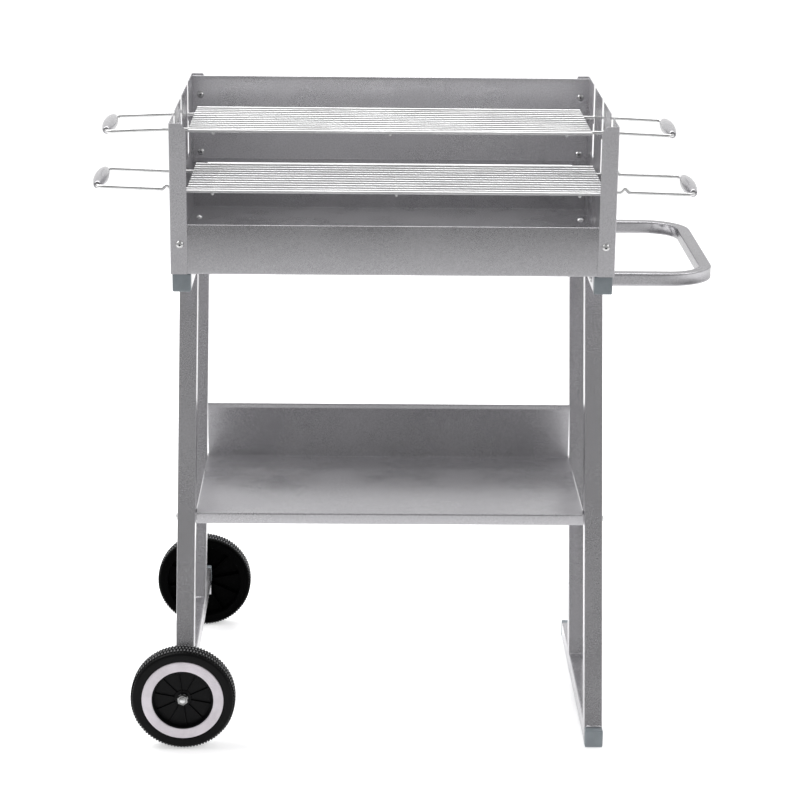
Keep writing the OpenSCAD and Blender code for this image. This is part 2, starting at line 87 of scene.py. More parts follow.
# ---------------------------------------------------------------- mesh tools

def finish_mesh(bm, name, materials, sharp=32.0):
    """Makes an object at the origin from a bmesh in fire box millimetres."""
    bmesh.ops.remove_doubles(bm, verts=bm.verts[:], dist=0.002)
    bmesh.ops.recalc_face_normals(bm, faces=bm.faces[:])
    mesh = bpy.data.meshes.new(name)
    bm.to_mesh(mesh)
    bm.free()
    mesh.transform(Matrix.Translation(BOX_ORIGIN) @ Matrix.Scale(MM, 4))
    for material in materials:
        mesh.materials.append(material)
    mesh.polygons.foreach_set("use_smooth", [True] * len(mesh.polygons))
    mesh.set_sharp_from_angle(angle=math.radians(sharp))
    obj = bpy.data.objects.new(name, mesh)
    bpy.context.scene.collection.objects.link(obj)
    return obj


def soften(obj, width, segments=2, limit=38.0):
    """Rounds an object's hard edges by width millimetres."""
    bevel = obj.modifiers.new("soft_edges", "BEVEL")
    bevel.width = width * MM
    bevel.segments = segments
    bevel.limit_method = "ANGLE"
    bevel.angle_limit = math.radians(limit)
    bevel.harden_normals = True
    bevel.miter_outer = "MITER_ARC"


def mount(obj, nodes, body="root"):
    """The piece stands for CAD nodes, which it hides, and rides on their body."""
    if isinstance(nodes, str):
        nodes = [nodes]
    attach(obj, body)
    if nodes:
        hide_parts(*nodes)
    return obj


def join(bm, other, matrix=None):
    """Adds another bmesh's faces to bm, moved by matrix, and keeps their material numbers."""
    mesh = bpy.data.meshes.new("part")
    other.to_mesh(mesh)
    other.free()
    if matrix is not None:
        mesh.transform(matrix)
    bm.from_mesh(mesh)
    bpy.data.meshes.remove(mesh)


def axis_matrix(origin, direction, twist=0.0):
    """Places +Z along direction at origin, turned about it by twist degrees."""
    turn = Vector(direction).to_track_quat("Z", "Y").to_matrix().to_4x4()
    return Matrix.Translation(Vector(origin)) @ turn @ Matrix.Rotation(math.radians(twist), 4, "Z")


def bridge(bm, lower, upper):
    """Joins two rings with the same number of points by a band of quads."""
    count = len(lower)
    faces = []
    for k in range(count):
        j = (k + 1) % count
        faces.append(bm.faces.new([lower[k], lower[j], upper[j], upper[k]]))
    return faces


def lathe(profile, segments=64):
    """Turns a profile of (radius, height) about Z. Ends at radius 0 close the shape; a profile
    whose last point is its first makes a ring."""
    bm = bmesh.new()
    closed = profile[0] == profile[-1]
    points = profile[:-1] if closed else profile
    rings = []
    for radius, height in points:
        if radius < 1e-6:
            rings.append([bm.verts.new((0, 0, height))])
            continue
        rings.append([
            bm.verts.new((
                radius * math.cos(2 * math.pi * k / segments),
                radius * math.sin(2 * math.pi * k / segments),
                height,
            ))
            for k in range(segments)
        ])
    pairs = list(zip(rings, rings[1:]))
    if closed:
        pairs.append((rings[-1], rings[0]))
    for lower, upper in pairs:
        for k in range(segments):
            j = (k + 1) % segments
            corners = [
                lower[k % len(lower)], lower[j % len(lower)],
                upper[j % len(upper)], upper[k % len(upper)],
            ]
            unique = []
            for vert in corners:
                if vert not in unique:
                    unique.append(vert)
            if len(unique) > 2:
                bm.faces.new(unique)
    return bm


def arc(cx, cy, radius, start, end, steps):
    """Points of a circular arc, angles in degrees."""
    return [
        (
            cx + radius * math.cos(math.radians(start + (end - start) * k / steps)),
            cy + radius * math.sin(math.radians(start + (end - start) * k / steps)),
        )
        for k in range(steps + 1)
    ]


def round_square(side, radius, steps=5, between=0):
    """Outline of a square with rounded corners, about its middle, with points along each side."""
    half = side / 2 - radius
    bends = []
    for k, (sx, sy) in enumerate(((1, 1), (-1, 1), (-1, -1), (1, -1))):
        bends.append(arc(sx * half, sy * half, radius, 90 * k, 90 * k + 90, steps))
    outline = []
    for bend, after in zip(bends, bends[1:] + bends[:1]):
        outline += bend
        a = Vector(bend[-1])
        b = Vector(after[0])
        outline += [tuple(a.lerp(b, m / (between + 1))) for m in range(1, between + 1)]
    return outline


def round_outline(radius, sides):
    """Outline of a circle about its middle."""
    return arc(0, 0, radius, 0, 360 * (sides - 1) / sides, sides - 1)


def sweep(path, section, up, cut=None, dent=None):
    """Sweeps a section of (side, up) points along a path of Vectors. cut gives the level Z of
    each end where the ends are cut level. dent(i, a, b) moves a section point at path point i."""
    bm = bmesh.new()
    rings = []
    last = len(path) - 1
    for i, point in enumerate(path):
        before = (path[i] - path[i - 1]).normalized() if i else Vector()
        after = (path[i + 1] - path[i]).normalized() if i < last else Vector()
        ahead = (before + after).normalized()
        side = ahead.cross(up).normalized()
        over = side.cross(ahead)
        ring = []
        for a, b in section:
            if dent:
                a, b = dent(i, a, b)
            corner = point + side * a + over * b
            if cut and i in (0, last):
                level = cut[0] if i == 0 else cut[1]
                corner += ahead * ((level - corner.z) / ahead.z)
            ring.append(bm.verts.new(corner))
        rings.append(ring)
    for lower, upper in zip(rings, rings[1:]):
        bridge(bm, lower, upper)
    bm.faces.new(rings[0][::-1])
    bm.faces.new(rings[-1])
    return bm


# Sheet metal: a flat blank is cut from its outline in (u, v), thickened along w, and folded.

def blank(outline, thickness):
    """A flat sheet with this outline, from w = 0 to w = thickness."""
    bm = bmesh.new()
    face = bm.faces.new([bm.verts.new((u, v, 0)) for u, v in outline])
    made = bmesh.ops.extrude_face_region(bm, geom=[face])["geom"]
    for item in made:
        if isinstance(item, bmesh.types.BMVert):
            item.co.z += thickness
    return bm


def fold(bm, axis, at, sign, radius, angle=90.0, thickness=0.0, steps=6):
    """Folds what lies beyond at (along u for axis 0, v for axis 1) towards +w. radius is the
    outer radius at w = 0. With a thickness, folds towards -w instead."""
    turn = math.radians(angle)
    length = radius * turn
    normal = Vector((1, 0, 0)) if axis == 0 else Vector((0, 1, 0))
    for k in range(steps + 1):
        here = normal * (at + sign * length * k / steps)
        bmesh.ops.bisect_plane(
            bm, geom=bm.verts[:] + bm.edges[:] + bm.faces[:], plane_co=here, plane_no=normal
        )
    for vert in bm.verts:
        beyond = (vert.co[axis] - at) * sign
        if beyond <= 1e-6:
            continue
        w = thickness - vert.co.z if thickness else vert.co.z
        bent = min(beyond / length, 1.0) * turn
        rest = max(beyond - length, 0.0)
        out = (radius - w) * math.sin(bent) + rest * math.cos(bent)
        w_new = radius - (radius - w) * math.cos(bent) + rest * math.sin(bent)
        vert.co[axis] = at + sign * out
        vert.co.z = thickness - w_new if thickness else w_new


def turn_sheet(bm, where):
    """Moves every point (u, v, w) of a sheet to where(u, v, w)."""
    for vert in bm.verts:
        vert.co = Vector(where(*vert.co))


# ---------------------------------------------------------------- materials

class Graph:
    """A material's node tree, built in a few words."""

    def __init__(self, name, **sockets):
        self.material = bpy.data.materials.new(name)
        self.material.use_nodes = True
        self.tree = self.material.node_tree
        self.shader = self.tree.nodes["Principled BSDF"]
        for key, value in sockets.items():
            self.shader.inputs[key.replace("_", " ")].default_value = value
        self.place = self.add("ShaderNodeTexCoord").outputs["Object"]

    def add(self, kind, values=None, **props):
        """A new node with these properties and input values or links."""
        node = self.tree.nodes.new(kind)
        for key, value in props.items():
            setattr(node, key, value)
        for key, value in (values or {}).items():
            self.feed(node.inputs[key], value)
        return node

    def feed(self, socket, value):
        """Links the socket to another node's output, or sets its own value."""
        if isinstance(value, bpy.types.NodeSocket):
            self.tree.links.new(value, socket)
        else:
            socket.default_value = value

    def noise(self, scale, detail=2.0, rough=0.5, stretch=(1, 1, 1)):
        """Noise over the object's own coordinates."""
        spread = self.add("ShaderNodeMapping", {"Vector": self.place, "Scale": stretch})
        return self.add("ShaderNodeTexNoise", {
            "Vector": spread.outputs["Vector"], "Scale": scale, "Detail": detail,
            "Roughness": rough,
        }).outputs["Fac"]

    def level(self, value, low, high, to_low, to_high):
        """Maps low..high to to_low..to_high, clamped."""
        return self.add("ShaderNodeMapRange", {
            "Value": value, "From Min": low, "From Max": high, "To Min": to_low, "To Max": to_high,
        }).outputs["Result"]

    def maths(self, kind, a, b):
        """One sum, product or the like of two values."""
        node = self.add("ShaderNodeMath", operation=kind)
        self.feed(node.inputs[0], a)
        self.feed(node.inputs[1], b)
        return node.outputs["Value"]

    def blend(self, factor, a, b):
        """A colour between a and b."""
        node = self.add("ShaderNodeMix", data_type="RGBA")
        self.feed(node.inputs["Factor"], factor)
        self.feed(node.inputs[6], a)
        self.feed(node.inputs[7], b)
        return node.outputs[2]

    def bump(self, height, strength, distance, after=None):
        """A bumped normal, on top of another bump where after gives one."""
        values = {"Height": height, "Strength": strength, "Distance": distance}
        if after is not None:
            values["Normal"] = after
        return self.add("ShaderNodeBump", values).outputs["Normal"]

    def use(self, **links):
        """Feeds the shader's sockets and gives the finished material."""
        for key, value in links.items():
            self.feed(self.shader.inputs[key.replace("_", " ")], value)
        return self.material


def grey(level, tint=0.0):
    """A grey with a slight violet tint, as linear colour."""
    return (level, level * (1 - 0.012 * (1 + tint)), level * (1 + 0.025 * (1 + tint)), 1.0)


def silver_paint(name, level, rough, grain=1.0, edge=1.0):
    """Satin metallic paint: fine flakes, a little orange peel and slow variation of tone."""
    g = Graph(name, Metallic=0.82, Coat_Weight=0.08, Coat_Roughness=0.3,
              Specular_Tint=(edge, edge, edge, 1.0))
    flakes = g.noise(1500, 2.0, 0.65)
    mottle = g.noise(420, 2.0, 0.6)
    tone = g.noise(7.0, 3.0, 0.55)
    shade = g.maths("ADD", g.level(flakes, 0.25, 0.75, -0.42 * grain, 0.42 * grain),
                    g.level(mottle, 0.3, 0.7, -0.20 * grain, 0.20 * grain))
    shade = g.maths("ADD", shade, g.level(tone, 0.3, 0.7, -0.10, 0.10))
    colour = g.blend(g.level(shade, -0.6, 0.6, 0.0, 1.0), grey(level * 0.74), grey(level * 1.28))
    gloss = g.level(g.maths("ADD", flakes, g.level(tone, 0.3, 0.7, -0.3, 0.3)), 0.2, 0.9,
                    rough - 0.06, rough + 0.09)
    peel = g.bump(g.noise(260, 2.0, 0.5), 0.05, 0.0004)
    return g.use(Base_Color=colour, Roughness=gloss,
                 Normal=g.bump(flakes, 0.16 * grain, 0.00012, peel))


def bright_metal(name, level, rough, streak=1.0, cloud_scale=55):
    """Plated steel: bright, with faint drawn streaks and cloudy spots."""
    g = Graph(name, Metallic=1.0)
    cloud = g.noise(cloud_scale, 3.0, 0.6)
    fine = g.noise(900, 2.0, 0.6, stretch=(0.08, 1, 1))
    colour = g.blend(g.level(cloud, 0.3, 0.7, 0.0, 1.0),
                     grey(level * 0.86, -1), grey(level * 1.05, -1))
    gloss = g.level(g.maths("ADD", fine, g.level(cloud, 0.3, 0.7, -0.25, 0.25)), 0.2, 0.9,
                    rough * 0.75, rough * 1.35)
    return g.use(Base_Color=colour, Roughness=gloss, Normal=g.bump(fine, 0.08 * streak, 0.0001))


def moulded(name, colour, rough, dust=0.0, grain=1.0, shine=0.5):
    """Moulded plastic: fine spark-erosion grain, slow gloss changes and a little dust."""
    g = Graph(name, Specular_IOR_Level=shine)
    grit = g.noise(1300, 2.0, 0.6)
    slow = g.noise(38, 3.0, 0.6)
    low = (colour[0] * 0.82, colour[1] * 0.82, colour[2] * 0.82, 1)
    high = (colour[0] * 1.16 + dust, colour[1] * 1.16 + dust, colour[2] * 1.16 + dust, 1)
    mix = g.maths("ADD", g.level(grit, 0.25, 0.75, -0.25, 0.25), g.level(slow, 0.3, 0.7, 0.2, 0.8))
    gloss = g.level(slow, 0.3, 0.7, rough - 0.05, rough + 0.07)
    return g.use(Base_Color=g.blend(mix, low, high), Roughness=gloss,
                 Normal=g.bump(grit, 0.22 * grain, 0.00015))


PAINT = silver_paint("silver_paint", 0.50, 0.28)
# Lighter copy of the same silver paint for the back panel: painted light, standing in for the brighter
# light the panel gets inside the box
PAINT_BACK_PAINTED_LIGHT = silver_paint("silver_paint_back_painted_light", 0.62, 0.30)
# Darker copy of the same silver paint for the fire tray: painted shade, standing in for the dimmer
# light on its front wall
PAINT_TRAY_PAINTED_SHADE = silver_paint("silver_paint_tray_painted_shade", 0.44, 0.28)
PAINT_TUBE = silver_paint("silver_paint_tube", 0.46, 0.25)
PAINT_PUSH = silver_paint("silver_paint_handle", 0.46, 0.25, edge=0.62)
GRIP = silver_paint("grip_lacquer", 0.40, 0.24, grain=1.5)
ZINC = bright_metal("zinc_plate", 0.62, 0.30)
NUT_PLATE = bright_metal("nut_plate", 0.34, 0.34)
CHROME = bright_metal("bright_wire", 0.84, 0.40, streak=0.0, cloud_scale=14)
HANDLE_WIRE = bright_metal("handle_wire", 0.62, 0.32, streak=0.2)
CAP = moulded("cap_plastic", (0.22, 0.248, 0.268), 0.46)
BLACK = moulded("wheel_plastic", (0.003, 0.003, 0.0034), 0.4, shine=0.1)
TREAD = moulded("tread_plastic", (0.10, 0.10, 0.104), 0.5, dust=0.015, grain=1.6, shine=0.35)
# Near-black copy of the wheel plastic for the wheel's inner side: painted shade, as that side lies in
# shadow
WHEEL_PAINTED_SHADE = moulded("wheel_painted_shade_plastic", (0.0008, 0.0008, 0.0009), 0.5, shine=0.02)
RING = moulded("ring_plastic", (0.70, 0.655, 0.70), 0.34, grain=0.5)
RECESS = moulded("recess_shadow", (0.22, 0.22, 0.23), 0.5)

# ---------------------------------------------------------------- fire box

SHEET = 1.2
FOLD_R = 2.0
HEM_R = 1.3
panel_lo, panel_hi = span("right_side_panel")
tray_lo, tray_hi = span("fire_tray")
back_lo, back_hi = span("back_panel")
HALF_W = panel_hi.x
FLANGE = panel_hi.x - panel_lo.x
BOX_D = panel_hi.y - panel_lo.y
BOX_Z = panel_lo.z
TOP_Z = panel_hi.z
SLOT_PITCH = 130
SLOT_W = 32
SEAT_LOW_Z = 752.5
SEAT_HIGH_Z = 810
SEAT_R = 3
SEAT_SHIFT = 8
FINGER_LEN = 14
FINGER_H = 9
NOTCH_W = 9
NOTCH_H = 8
CORNER_W = 6
CORNER_H = 9
FINGER_CHAMFER = 1.5
FINGER_TOP_CHAMFER = 1.0
EDGE_SOFT = 0.3


def seat(y, z):
    """The half-round under a wire, from the front to the back."""
    return arc(y, z, SEAT_R, 180, 360, 8)


def slot_edge(y):
    """The edge of one slot, from the front of its mouth to the back of its mouth."""
    front = y - SLOT_W / 2
    back = y + SLOT_W / 2
    low = seat(y - SEAT_SHIFT, SEAT_LOW_Z)
    high = seat(y + SEAT_SHIFT, SEAT_HIGH_Z)
    finger = back - FINGER_LEN
    edge = [(front, TOP_Z), (front, SEAT_LOW_Z)]
    edge += low
    edge += [(back, SEAT_LOW_Z), (back, SEAT_HIGH_Z - FINGER_H)]
    edge += [
        (finger + FINGER_CHAMFER, SEAT_HIGH_Z - FINGER_H),
        (finger, SEAT_HIGH_Z - FINGER_H + FINGER_CHAMFER),
        (finger, SEAT_HIGH_Z - FINGER_TOP_CHAMFER),
        (finger + FINGER_TOP_CHAMFER, SEAT_HIGH_Z),
    ]
    edge += high
    edge += [(back, SEAT_HIGH_Z), (back, TOP_Z)]
    return edge


def side_panel(name, mirror):
    """A side sheet with three slots and two notches, and a post folded along each upright edge."""
    arc_len = FOLD_R * math.pi / 2
    flat = FLANGE - FOLD_R + arc_len
    front = FOLD_R - flat
    back = BOX_D - FOLD_R + flat
    middle = BOX_D / 2
    top = [(front, TOP_Z - CORNER_H), (front + CORNER_W, TOP_Z)]
    for k, y in enumerate((middle - SLOT_PITCH, middle, middle + SLOT_PITCH)):
        top += slot_edge(y)
        if k < 2:
            notch = y + SLOT_PITCH / 2
            top += [
                (notch - NOTCH_W / 2, TOP_Z), (notch, TOP_Z - NOTCH_H), (notch + NOTCH_W / 2, TOP_Z),
            ]
    top += [(back - CORNER_W, TOP_Z), (back, TOP_Z - CORNER_H)]
    outline = [(back, BOX_Z), (front, BOX_Z)] + top
    bm = blank(outline, SHEET)
    fold(bm, 0, FOLD_R, -1, FOLD_R)
    fold(bm, 0, BOX_D - FOLD_R, 1, FOLD_R)
    side = -1 if mirror else 1
    turn_sheet(bm, lambda u, v, w: (side * (HALF_W - w), u, v))
    obj = finish_mesh(bm, name, [PAINT])
    soften(obj, EDGE_SOFT)
    return mount(obj, name.replace("_sheet", ""))


side_panel("left_side_panel_sheet", True)
side_panel("right_side_panel_sheet", False)

HEM = 7.0
HEM_BEND = HEM_R * math.pi


def fire_tray():
    """Floor, front wall and back wall from one blank, with a closed hem along each rim."""
    half = tray_hi.x
    y0 = tray_lo.y
    y1 = tray_hi.y
    height = tray_hi.z - tray_lo.z
    fold_len = FOLD_R * math.pi / 2
    wall = height - FOLD_R - HEM_R
    front_hem = y0 + FOLD_R - fold_len - wall
    back_hem = y1 - FOLD_R + fold_len + wall
    edge = HEM_BEND + HEM - HEM_R
    bm = blank([
        (front_hem - edge, -half), (back_hem + edge, -half),
        (back_hem + edge, half), (front_hem - edge, half),
    ], SHEET)
    fold(bm, 0, front_hem, -1, HEM_R, 180)
    fold(bm, 0, back_hem, 1, HEM_R, 180)
    fold(bm, 0, y0 + FOLD_R, -1, FOLD_R)
    fold(bm, 0, y1 - FOLD_R, 1, FOLD_R)
    turn_sheet(bm, lambda u, v, w: (v, u, BOX_Z + w))
    # The fire tray takes the darker copy of the paint, painted shade
    obj = finish_mesh(bm, "fire_tray_sheet", [PAINT_TRAY_PAINTED_SHADE])
    soften(obj, EDGE_SOFT)
    return mount(obj, "fire_tray")


def back_panel():
    """A flat panel with a closed hem, folded to the front, along its top and bottom."""
    half = back_hi.x
    z0 = back_lo.z + HEM_R
    z1 = back_hi.z - HEM_R
    edge = HEM_BEND + HEM - HEM_R
    bm = blank([(z0 - edge, -half), (z1 + edge, -half), (z1 + edge, half), (z0 - edge, half)], SHEET)
    fold(bm, 0, z0, -1, HEM_R, 180)
    fold(bm, 0, z1, 1, HEM_R, 180)
    turn_sheet(bm, lambda u, v, w: (v, back_hi.y - w, u))
    # The back panel takes the lighter copy of the paint, a painted highlight
    obj = finish_mesh(bm, "back_panel_sheet", [PAINT_BACK_PAINTED_LIGHT])
    soften(obj, EDGE_SOFT)
    return mount(obj, "back_panel")


fire_tray()
back_panel()

# ---------------------------------------------------------------- shelf

shelf_lo, shelf_hi = span("shelf")
SHELF_Z = 304
SHELF_LIP = SHELF_Z - shelf_lo.z
SHELF_BACK = 295.5
FLANGE_GAP = 1.5


def shelf():
    """One sheet with a front lip, a back upstand with a hem, and a folded flange at each side."""
    half = shelf_hi.x
    y0 = shelf_lo.y
    fold_len = FOLD_R * math.pi / 2
    lip = fold_len + SHELF_LIP - FOLD_R
    rise = shelf_hi.z - SHELF_Z - HEM_R - FOLD_R
    back = SHELF_BACK - FOLD_R
    hem = back + fold_len + rise
    edge = HEM_BEND + HEM - HEM_R
    side = half - FOLD_R
    start = y0 + FOLD_R + FLANGE_GAP
    end = back - FLANGE_GAP
    bm = blank([
        (y0 + FOLD_R - lip, -side), (hem + edge, -side), (hem + edge, side), (y0 + FOLD_R - lip, side),
    ], SHEET)
    fold(bm, 0, hem, 1, HEM_R, 180, thickness=SHEET)
    fold(bm, 0, back, 1, FOLD_R, 90, thickness=SHEET)
    fold(bm, 0, y0 + FOLD_R, -1, FOLD_R)
    for sign in (-1, 1):
        strip = blank([
            (start, sign * side), (end, sign * side),
            (end, sign * (side + fold_len)), (shelf_hi.y, sign * (side + fold_len)),
            (shelf_hi.y, sign * (side + lip)), (start, sign * (side + lip)),
        ], SHEET)
        fold(strip, 1, sign * side, sign, FOLD_R)
        join(bm, strip)
    turn_sheet(bm, lambda u, v, w: (v, u, SHELF_Z - w))
    obj = finish_mesh(bm, "shelf_sheet", [PAINT])
    soften(obj, EDGE_SOFT)
    return mount(obj, "shelf")


shelf()

# ---------------------------------------------------------------- frame tubes

TUBE = 25
TUBE_R = 1.8
SECTION = round_square(TUBE, TUBE_R)
UP = Vector((0, 0, 1))


def bar(node):
    """A level square tube along Y."""
    lo, hi = span(node)
    x = (lo.x + hi.x) / 2
    z = (lo.z + hi.z) / 2
    bm = sweep([Vector((x, lo.y, z)), Vector((x, hi.y, z))], SECTION, UP)
    obj = finish_mesh(bm, node + "_tube", [PAINT_TUBE])
    return mount(obj, node)


SLANT = 19.0
BEAD_R = 1.7
BEAD_STEPS = 26
BEAD_END = 0.35
BEAD_SIZE = 0.82
BEAD_RIPPLE = 0.14
BEAD_CHANCE = 0.16
BEAD_OUT = 0.3
BEAD_IN = 0.5


def weld_bead(x, y, z, up, rng):
    """A rippled weld across the tube, in the corner where a leg meets a bar."""
    half = TUBE / 2 - TUBE_R
    path = []
    for k in range(BEAD_STEPS + 1):
        path.append(Vector((x - half + 2 * half * k / BEAD_STEPS, y, z)))
    sizes = [BEAD_END]
    for k in range(1, BEAD_STEPS):
        sizes.append(BEAD_SIZE + BEAD_RIPPLE * (k % 2) + rng.uniform(0, BEAD_CHANCE))
    sizes.append(BEAD_END)

    def ripple(i, a, b):
        return a * sizes[i], b * sizes[i]

    return sweep(path, round_outline(BEAD_R, 10), Vector((0, 0, up)), dent=ripple)


def leg(node):
    """A square tube that slants forward as it goes down, with both ends cut level."""
    lo, hi = span(node)
    slant = math.radians(SLANT)
    depth = TUBE / math.cos(slant)
    x = (lo.x + hi.x) / 2
    foot = Vector((x, lo.y + depth / 2, lo.z))
    head = Vector((x, hi.y - depth / 2, hi.z))
    bm = sweep([foot, head], SECTION, Vector((0, -1, 0)), cut=(lo.z, hi.z))
    rng = random.Random(node)
    for y in (lo.y - BEAD_OUT, lo.y + depth + BEAD_OUT):
        join(bm, weld_bead(x, y, lo.z + BEAD_IN, 1, rng))
    for y in (hi.y - depth - BEAD_OUT, hi.y + BEAD_OUT):
        join(bm, weld_bead(x, y, hi.z - BEAD_IN, -1, rng))
    obj = finish_mesh(bm, node + "_tube", [PAINT_TUBE])
    return mount(obj, node)


for bar_node in ("left_top_bar", "right_top_bar", "foot_bar", "axle_bar"):
    bar(bar_node)
for leg_node in ("front_left_leg", "rear_left_leg", "front_right_leg", "rear_right_leg"):
    leg(leg_node)

CAP_LEN = 14
CAP_EDGE = 1.6
CAP_STEP = 0.35
CAP_STEP_LEN = 0.6
CAP_ARC_STEPS = 5
CAP_MIN_R = 0.8


def end_caps(node, bar_node):
    """Plastic plugs in both ends of one or more bars: a square head with rounded edges."""
    bm = bmesh.new()
    bars = [bar_node] if isinstance(bar_node, str) else bar_node
    for one in bars:
        lo, hi = span(one)
        x = (lo.x + hi.x) / 2
        z = (lo.z + hi.z) / 2
        for y, ahead in ((lo.y, -1), (hi.y, 1)):
            rings = []
            steps = [(0.0, CAP_STEP), (CAP_STEP_LEN, 0.0), (CAP_LEN - CAP_EDGE, 0.0)]
            for k in range(1, CAP_ARC_STEPS + 1):
                turn = math.radians(90 * k / CAP_ARC_STEPS)
                steps.append((CAP_LEN - CAP_EDGE + CAP_EDGE * math.sin(turn),
                              CAP_EDGE * (1 - math.cos(turn))))
            for out, inset in steps:
                ring = []
                for a, b in round_square(TUBE - 2 * inset, max(TUBE_R - inset * 0.5, CAP_MIN_R)):
                    ring.append(bm.verts.new((x + a, y + ahead * out, z + b)))
                rings.append(ring)
            for lower, upper in zip(rings, rings[1:]):
                bridge(bm, lower, upper)
            bm.faces.new(rings[0])
            bm.faces.new(rings[-1])
    obj = finish_mesh(bm, node + "_moulded", [CAP])
    return mount(obj, node)


end_caps("top_bar_caps", ("left_top_bar", "right_top_bar"))
end_caps("foot_bar_caps", "foot_bar")
end_caps("axle_bar_caps", "axle_bar")

# ---------------------------------------------------------------- push handle

push_lo, push_hi = span("push_handle")
PUSH_TUBE = push_hi.z - push_lo.z
PUSH_BEND = 56
PUSH_LEAD = 20
PUSH_STEPS = 30
PUSH_TUBE_R = 2.6
PUSH_SECTION = round_square(PUSH_TUBE, PUSH_TUBE_R, between=6)
DENT_INNER = 1.7
DENT_OUTER = 2.0
DENT_TOP = 0.7


def bend_run(x, y, start):
    """A quarter bend about (x, y) with a short straight lead on both sides, as (point, dent)."""
    length = PUSH_BEND * math.pi / 2
    run = []
    for k in range(PUSH_STEPS + 1):
        along = (length + 2 * PUSH_LEAD) * k / PUSH_STEPS - PUSH_LEAD
        on_arc = min(max(along, 0.0), length)
        turn = math.radians(start) + on_arc / PUSH_BEND
        straight = along - on_arc
        point = (
            x + PUSH_BEND * math.cos(turn) - straight * math.sin(turn),
            y + PUSH_BEND * math.sin(turn) + straight * math.cos(turn),
        )
        run.append((point, math.sin(math.pi * k / PUSH_STEPS) ** 2))
    return run


def push_handle():
    """One square tube with two bends, whose walls sink in where the tube was bent."""
    z = (push_lo.z + push_hi.z) / 2
    half = PUSH_TUBE / 2
    y0 = push_lo.y + half
    y1 = push_hi.y - half
    x_bend = push_hi.x - half - PUSH_BEND
    run = [((push_lo.x, y0), 0.0)]
    run += bend_run(x_bend, y0 + PUSH_BEND, -90)
    run += bend_run(x_bend, y1 - PUSH_BEND, 0)
    run += [((push_lo.x, y1), 0.0)]
    path = [Vector((x, y, z)) for (x, y), dent in run]

    def crush(i, a, b):
        dent = run[i][1]
        side_hollow = dent * (1 - (b / half) ** 2) * abs(a) / half
        top_hollow = dent * (1 - (a / half) ** 2) * abs(b) / half
        if a < 0:
            a += side_hollow * DENT_INNER
        else:
            a -= side_hollow * DENT_OUTER
        b -= math.copysign(top_hollow * DENT_TOP, b)
        return a, b

    bm = sweep(path, PUSH_SECTION, UP, dent=crush)
    obj = finish_mesh(bm, "push_handle_tube", [PAINT_PUSH], sharp=50)
    return mount(obj, "push_handle")


push_handle()

# ---------------------------------------------------------------- fasteners

SCREW_R = 3
HEAD_R = 1.8
HEAD_H = 1.1
SMALL_NUT_AF = 10
SMALL_NUT_H = 4
TALL_NUT_H = 5
POST_SCREW_LEN = 8
BACK_SCREW_OUT = 5
BOLT_OUT = 7
PUSH_BOLT_OUT = 16
RECESS_SLOT = 1


def dome_head(radius, height):
    """A domed screw head on z = 0, with a hex recess in its top."""
    profile = [(radius - 0.15, 0.0), (radius, 0.3)]
    dome = (radius * radius + height * height) / (2 * height)
    reach = math.degrees(math.asin(min((radius - 0.05) / dome, 1)))
    inner = radius * 0.34
    low = math.degrees(math.asin(inner / dome))
    for k in range(9):
        angle = math.radians(reach + (low - reach) * k / 8)
        profile.append((dome * math.sin(angle), height - dome + dome * math.cos(angle) + 0.02))
    hex_r = inner * 0.9
    bm = lathe([(0.0, 0.0)] + profile + [(hex_r, profile[-1][1] - 0.15)], 32)
    rim = [v for v in bm.verts if abs(math.hypot(v.co.x, v.co.y) - hex_r) < 1e-4]
    for vert in rim:
        turn = math.atan2(vert.co.y, vert.co.x) % (math.pi / 3) - math.pi / 6
        hexed = hex_r * math.cos(math.pi / 6) / math.cos(turn)
        vert.co.x *= hexed / hex_r
        vert.co.y *= hexed / hex_r
    edges = [e for e in bm.edges if e.verts[0] in rim and e.verts[1] in rim]
    made = bmesh.ops.extrude_edge_only(bm, edges=edges)["geom"]
    floor = [v for v in made if isinstance(v, bmesh.types.BMVert)]
    for vert in floor:
        vert.co.z -= height * 0.55
    new_edges = [e for e in made if isinstance(e, bmesh.types.BMEdge)]
    loop = [e for e in new_edges if all(v in floor for v in e.verts)]
    bmesh.ops.holes_fill(bm, edges=loop, sides=0)
    for face in bm.faces:
        if all(v in floor or v in rim for v in face.verts):
            face.material_index = RECESS_SLOT
    return bm


def shank(radius, length):
    """A shank with a chamfered tip and fine thread ridges from just before its middle."""
    profile = [(0.0, 0.0), (radius, 0.0)]
    pitch = radius * 0.32
    start = length * 0.45
    turns = max(int((length - start - radius * 0.5) / pitch), 1)
    for k in range(turns):
        z = start + k * pitch
        profile += [(radius, z), (radius * 0.9, z + pitch * 0.5)]
    profile += [(radius, start + turns * pitch), (radius, length - radius * 0.3),
                (radius * 0.7, length), (0.0, length)]
    return lathe(profile, 24)


def screws(node, places, radius, length):
    """Dome screws: places are (head seat, direction of the shank)."""
    bm = bmesh.new()
    rng = random.Random(len(node))
    for origin, direction in places:
        back = axis_matrix(origin, -Vector(direction), rng.uniform(0, 60))
        join(bm, dome_head(HEAD_R * radius, HEAD_H * radius), back)
        join(bm, shank(radius, length), axis_matrix(origin, direction))
    obj = finish_mesh(bm, node + "_domed", [ZINC, RECESS], sharp=40)
    return mount(obj, node)


